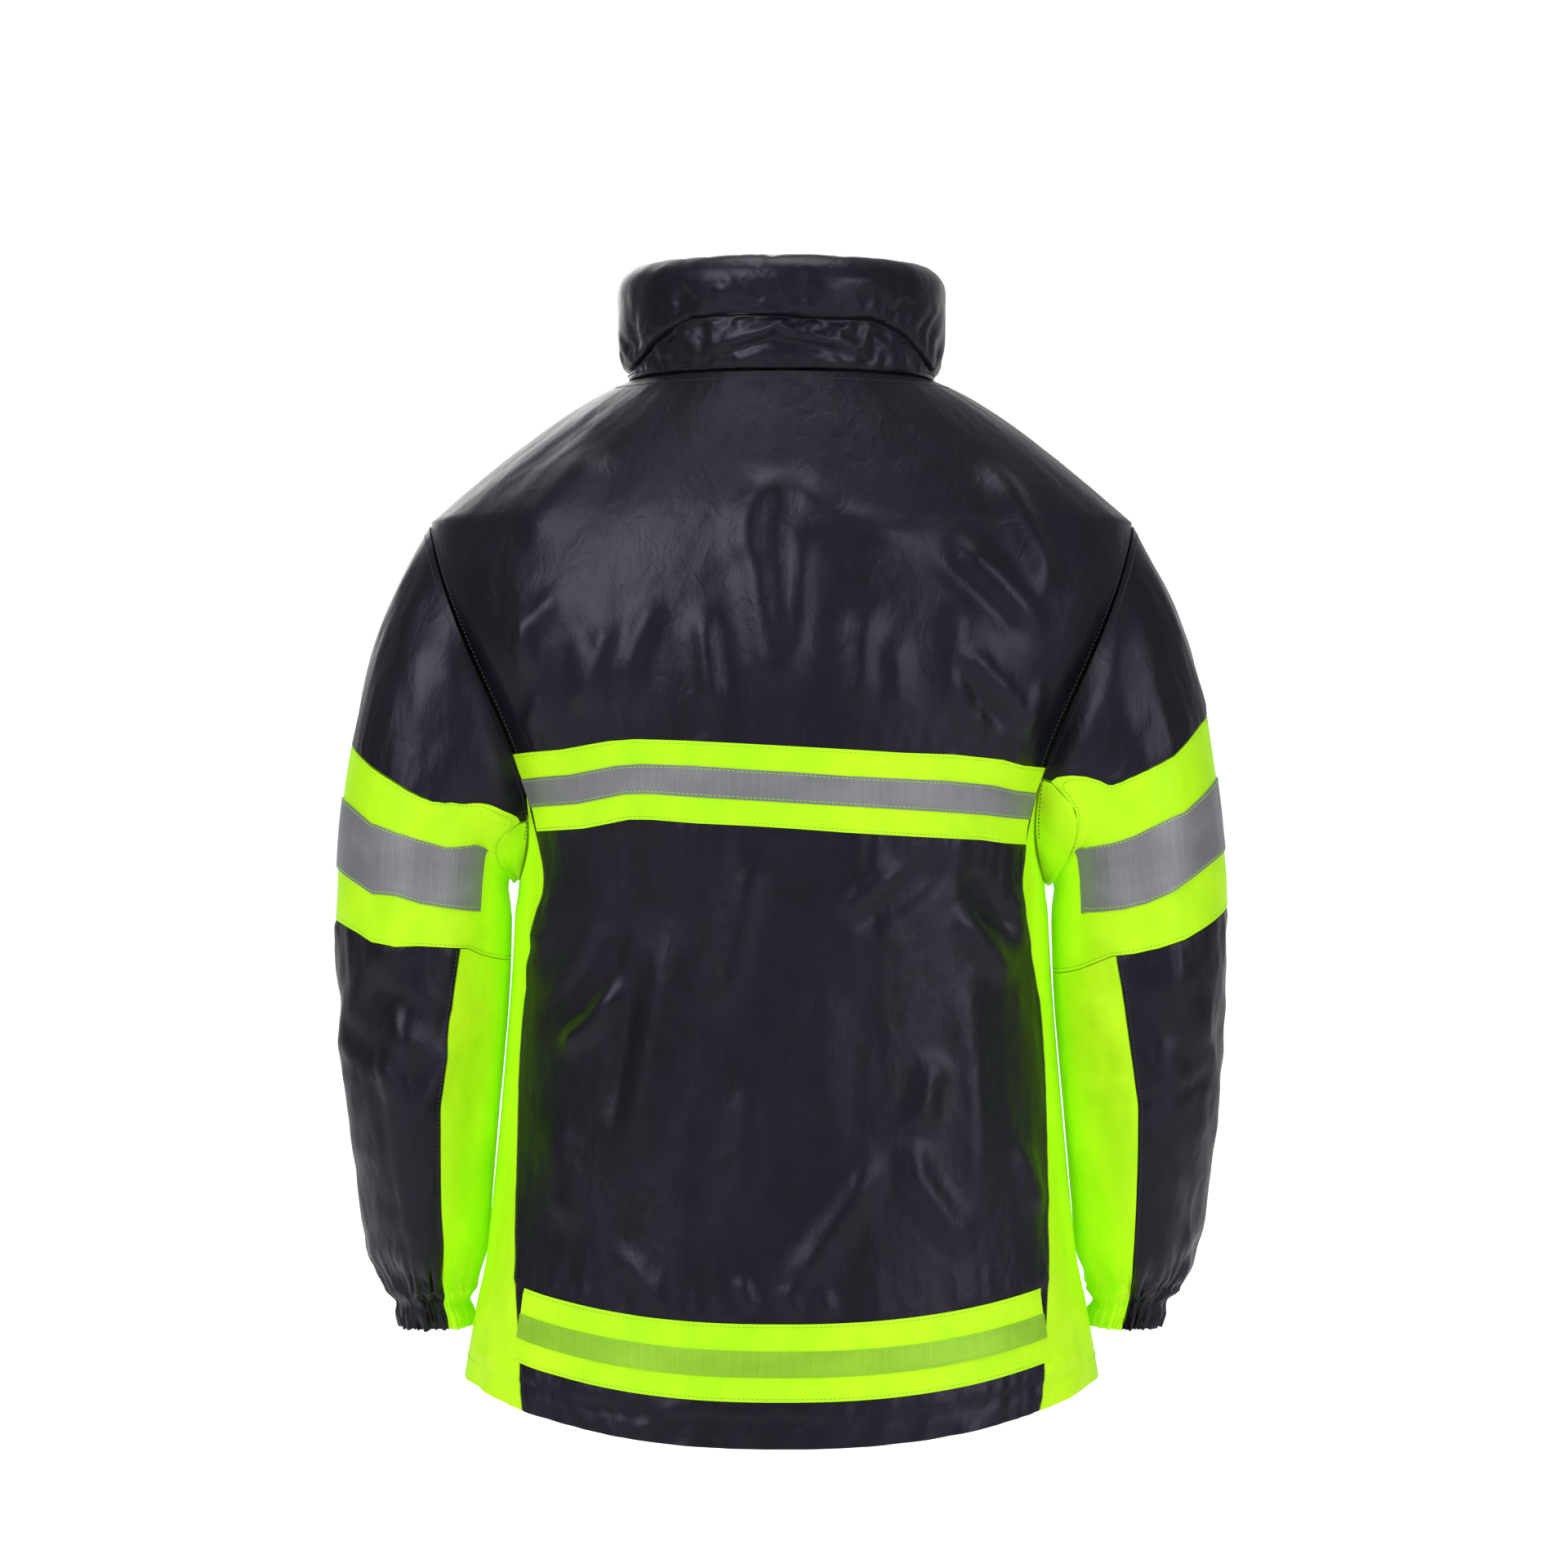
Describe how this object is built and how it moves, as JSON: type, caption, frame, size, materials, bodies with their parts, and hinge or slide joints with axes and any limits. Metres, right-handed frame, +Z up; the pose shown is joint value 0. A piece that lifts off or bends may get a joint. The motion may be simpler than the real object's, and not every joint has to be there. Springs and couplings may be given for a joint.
{
  "type": "turnout coat",
  "caption": "High-visibility work coat worn closed, hood rolled into the stand collar, banded sleeves with gathered cuffs.",
  "frame": {"origin": "centre of the neck opening, level with the collar's seam at the back, where the coat hangs from the wearer's shoulders", "axes": "+Z up; -Y is the coat's front, so its back faces +Y; +X is the wearer's left"},
  "size_m": [0.656, 0.341, 0.8451],
  "materials": {
    "navy_fabric": "glossy coated nylon, near black with a blue cast",
    "lime_fabric": "fluorescent lime coated polyester",
    "silver_tape": "silver grey retroreflective tape",
    "lining_fabric": "matte quilted lining",
    "zip_metal": "dark nickel plated brass",
    "zip_plastic": "black moulded teeth on a woven tape",
    "label_fabric": "plain woven label"
  },
  "bodies": {
    "coat_body": {"back_chest_trim": "lime_fabric", "back_hem_trim": "lime_fabric", "back_lining": "lining_fabric", "back_panel": "navy_fabric", "collar_facing": "lining_fabric", "collar_shell": "navy_fabric", "hanging_loop": "navy_fabric", "hood_zip": "zip_plastic", "left_chest_trim": "lime_fabric", "left_front_lining": "lining_fabric", "left_front_panel": "navy_fabric", "left_front_zip": "zip_plastic", "left_hem_trim": "lime_fabric", "left_pocket": "navy_fabric", "left_side_panel": "lime_fabric", "right_chest_trim": "lime_fabric", "right_front_lining": "lining_fabric", "right_front_panel": "navy_fabric", "right_front_zip": "zip_plastic", "right_hem_trim": "lime_fabric", "right_pocket": "navy_fabric", "right_side_panel": "lime_fabric", "rolled_hood": "navy_fabric", "size_label": "label_fabric", "snap_stud_1": "zip_metal", "snap_stud_2": "zip_metal", "snap_stud_3": "zip_metal", "snap_stud_4": "zip_metal", "zip_retainer_box": "zip_metal"},
    "left_upper_sleeve": {"left_sleeve_head": "navy_fabric", "left_underarm_gusset": "lime_fabric", "left_sleeve_band": "lime_fabric", "left_sleeve_tape": "silver_tape"},
    "left_lower_sleeve": {"left_elbow_panel": "navy_fabric", "left_elbow_underarm": "lime_fabric", "left_forearm_panel": "navy_fabric", "left_forearm_underarm": "lime_fabric", "left_cuff": "navy_fabric"},
    "left_pocket_cover": {"left_pocket_flap": "navy_fabric"},
    "right_upper_sleeve": {"right_sleeve_head": "navy_fabric", "right_underarm_gusset": "lime_fabric", "right_sleeve_band": "lime_fabric", "right_sleeve_tape": "silver_tape"},
    "right_lower_sleeve": {"right_elbow_panel": "navy_fabric", "right_elbow_underarm": "lime_fabric", "right_forearm_panel": "navy_fabric", "right_forearm_underarm": "lime_fabric", "right_cuff": "navy_fabric"},
    "right_pocket_cover": {"right_pocket_flap": "navy_fabric"},
    "front_flap": {"storm_flap": "navy_fabric", "snap_cap_1": "zip_metal", "snap_cap_2": "zip_metal", "snap_cap_3": "zip_metal", "snap_cap_4": "zip_metal"},
    "slider": {"front_zip_slider": "zip_metal"},
    "pull": {"zip_pull": "zip_metal"},
    "hood_slider": {"hood_zip_slider": "zip_metal"}
  },
  "joints": [
    {"name": "front_zip_slide", "type": "slide", "parent": "coat_body", "child": "slider", "axis": [0, -0.0479, -0.9988], "range_m": [0, 0.752]},
    {"name": "zip_pull_hinge", "type": "hinge", "parent": "slider", "child": "pull", "pos_m": [0, -0.13666, 0.05922], "axis": [-1, 0, 0], "range_deg": [0, 105]},
    {"name": "storm_flap_fold", "type": "hinge", "parent": "coat_body", "child": "front_flap", "pos_m": [0.0362, -0.1595, -0.4865], "axis": [0, 0.0479, 0.9988], "range_deg": [0, 110]},
    {"name": "hood_zip_travel", "type": "hinge", "parent": "coat_body", "child": "hood_slider", "pos_m": [0, -0.01989, 0.044], "axis": [0, 0, -1], "range_deg": [0, 203]},
    {"name": "left_pocket_flap_hinge", "type": "hinge", "parent": "coat_body", "child": "left_pocket_cover", "pos_m": [0.107, -0.1415, -0.452], "axis": [-0.9083, -0.4183, 0], "range_deg": [0, 105]},
    {"name": "left_shoulder", "type": "hinge", "parent": "coat_body", "child": "left_upper_sleeve", "pos_m": [0.245, 0, -0.251], "axis": [0, -1, 0], "range_deg": [0, 45], "deforming": ["left_sleeve_head", "left_underarm_gusset"]},
    {"name": "left_elbow", "type": "hinge", "parent": "left_upper_sleeve", "child": "left_lower_sleeve", "pos_m": [0.263, 0.008, -0.451], "axis": [-1, 0, 0], "range_deg": [0, 60], "deforming": ["left_elbow_panel", "left_elbow_underarm"]},
    {"name": "right_pocket_flap_hinge", "type": "hinge", "parent": "coat_body", "child": "right_pocket_cover", "pos_m": [-0.107, -0.1415, -0.452], "axis": [-0.9083, 0.4183, 0], "range_deg": [0, 105]},
    {"name": "right_shoulder", "type": "hinge", "parent": "coat_body", "child": "right_upper_sleeve", "pos_m": [-0.245, 0, -0.251], "axis": [0, 1, 0], "range_deg": [0, 45], "deforming": ["right_sleeve_head", "right_underarm_gusset"]},
    {"name": "right_elbow", "type": "hinge", "parent": "right_upper_sleeve", "child": "right_lower_sleeve", "pos_m": [-0.263, 0.008, -0.451], "axis": [-1, 0, 0], "range_deg": [0, 60], "deforming": ["right_elbow_panel", "right_elbow_underarm"]}
  ]
}
